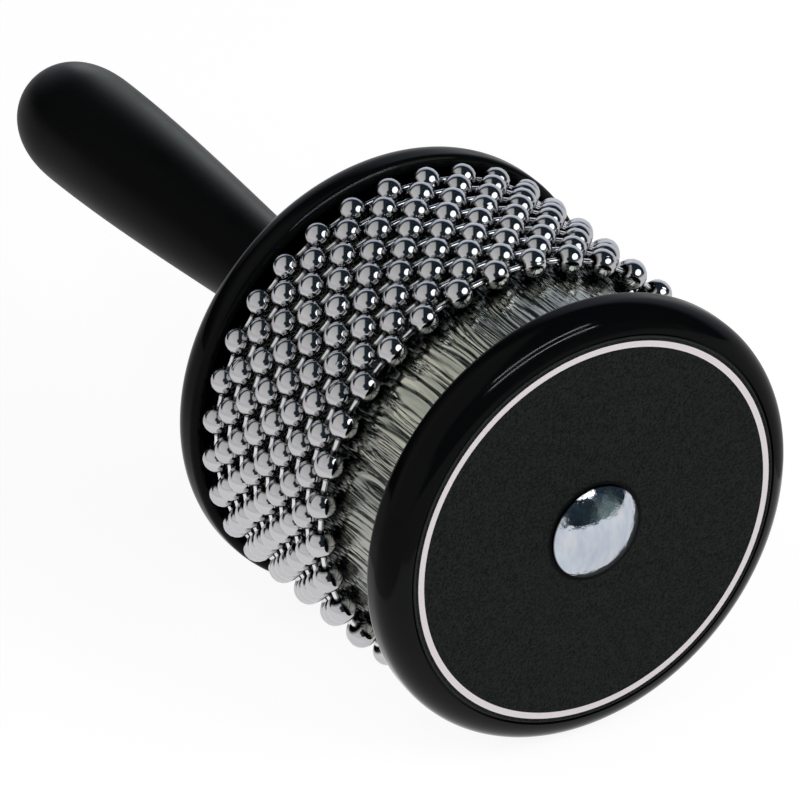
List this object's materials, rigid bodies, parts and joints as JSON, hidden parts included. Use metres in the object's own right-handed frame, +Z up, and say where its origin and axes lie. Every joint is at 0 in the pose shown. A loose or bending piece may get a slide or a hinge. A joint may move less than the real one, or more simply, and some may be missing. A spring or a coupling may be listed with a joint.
{
  "type": "cabasa",
  "caption": "Hand percussion shaker: loops of steel ball chain turn on a textured steel drum between two black end caps, on a swelling black handle.",
  "frame": {"origin": "centre of the box's base: under the middle of the whole length, on the surface that the two cap rims lie on", "axes": "+X along the drum's axis from the handle towards the front face, +Z up from the surface it lies on, +Y across"},
  "size_m": [0.2246, 0.1016, 0.1016],
  "materials": {
    "cap_black": "polished black moulding",
    "face_matte": "fine-grained matt dark grey with a pale ring line",
    "core_wood": "plain turned wood, hidden",
    "sleeve_steel": "crinkled stainless sheet",
    "bolt_chrome": "polished chrome plating",
    "handle_black": "satin black moulding",
    "insert_brass": "plain turned brass, hidden",
    "bead_nickel": "bright nickel plating on steel",
    "link_nickel": "bright nickel plating on steel wire"
  },
  "bodies": {
    "drum": {"front_cap": "cap_black", "rear_cap": "cap_black", "face_plate": "face_matte", "drum_core": "core_wood", "steel_sleeve": "sleeve_steel", "carriage_bolt": "bolt_chrome", "handle": "handle_black", "handle_insert": "insert_brass"},
    "loop_1": {"bead_loop_1": "bead_nickel", "loop_links_1": "link_nickel"},
    "loop_2": {"bead_loop_2": "bead_nickel", "loop_links_2": "link_nickel"},
    "loop_3": {"bead_loop_3": "bead_nickel", "loop_links_3": "link_nickel"},
    "loop_4": {"bead_loop_4": "bead_nickel", "loop_links_4": "link_nickel"},
    "loop_5": {"bead_loop_5": "bead_nickel", "loop_links_5": "link_nickel"},
    "loop_6": {"bead_loop_6": "bead_nickel", "loop_links_6": "link_nickel"},
    "loop_7": {"bead_loop_7": "bead_nickel", "loop_links_7": "link_nickel"},
    "loop_8": {"bead_loop_8": "bead_nickel", "loop_links_8": "link_nickel"},
    "loop_9": {"bead_loop_9": "bead_nickel", "loop_links_9": "link_nickel"}
  },
  "joints": [
    {"name": "loop_1_spin", "type": "hinge", "parent": "drum", "child": "loop_1", "pos_m": [0, 0, 0.0508], "axis": [1, 0, 0], "continuous": true},
    {"name": "loop_2_spin", "type": "hinge", "parent": "drum", "child": "loop_2", "pos_m": [0, 0, 0.0508], "axis": [1, 0, 0], "continuous": true},
    {"name": "loop_3_spin", "type": "hinge", "parent": "drum", "child": "loop_3", "pos_m": [0, 0, 0.0508], "axis": [1, 0, 0], "continuous": true},
    {"name": "loop_4_spin", "type": "hinge", "parent": "drum", "child": "loop_4", "pos_m": [0, 0, 0.0508], "axis": [1, 0, 0], "continuous": true},
    {"name": "loop_5_spin", "type": "hinge", "parent": "drum", "child": "loop_5", "pos_m": [0, 0, 0.0508], "axis": [1, 0, 0], "continuous": true},
    {"name": "loop_6_spin", "type": "hinge", "parent": "drum", "child": "loop_6", "pos_m": [0, 0, 0.0508], "axis": [1, 0, 0], "continuous": true},
    {"name": "loop_7_spin", "type": "hinge", "parent": "drum", "child": "loop_7", "pos_m": [0, 0, 0.0508], "axis": [1, 0, 0], "continuous": true},
    {"name": "loop_8_spin", "type": "hinge", "parent": "drum", "child": "loop_8", "pos_m": [0, 0, 0.0508], "axis": [1, 0, 0], "continuous": true},
    {"name": "loop_9_spin", "type": "hinge", "parent": "drum", "child": "loop_9", "pos_m": [0, 0, 0.0508], "axis": [1, 0, 0], "continuous": true}
  ],
  "couplings": [
    {"joint": "loop_2_spin", "follows": "loop_1_spin", "ratio": 1},
    {"joint": "loop_3_spin", "follows": "loop_1_spin", "ratio": 1},
    {"joint": "loop_4_spin", "follows": "loop_1_spin", "ratio": 1},
    {"joint": "loop_5_spin", "follows": "loop_1_spin", "ratio": 1},
    {"joint": "loop_6_spin", "follows": "loop_1_spin", "ratio": 1},
    {"joint": "loop_7_spin", "follows": "loop_1_spin", "ratio": 1},
    {"joint": "loop_8_spin", "follows": "loop_1_spin", "ratio": 1},
    {"joint": "loop_9_spin", "follows": "loop_1_spin", "ratio": 1}
  ]
}
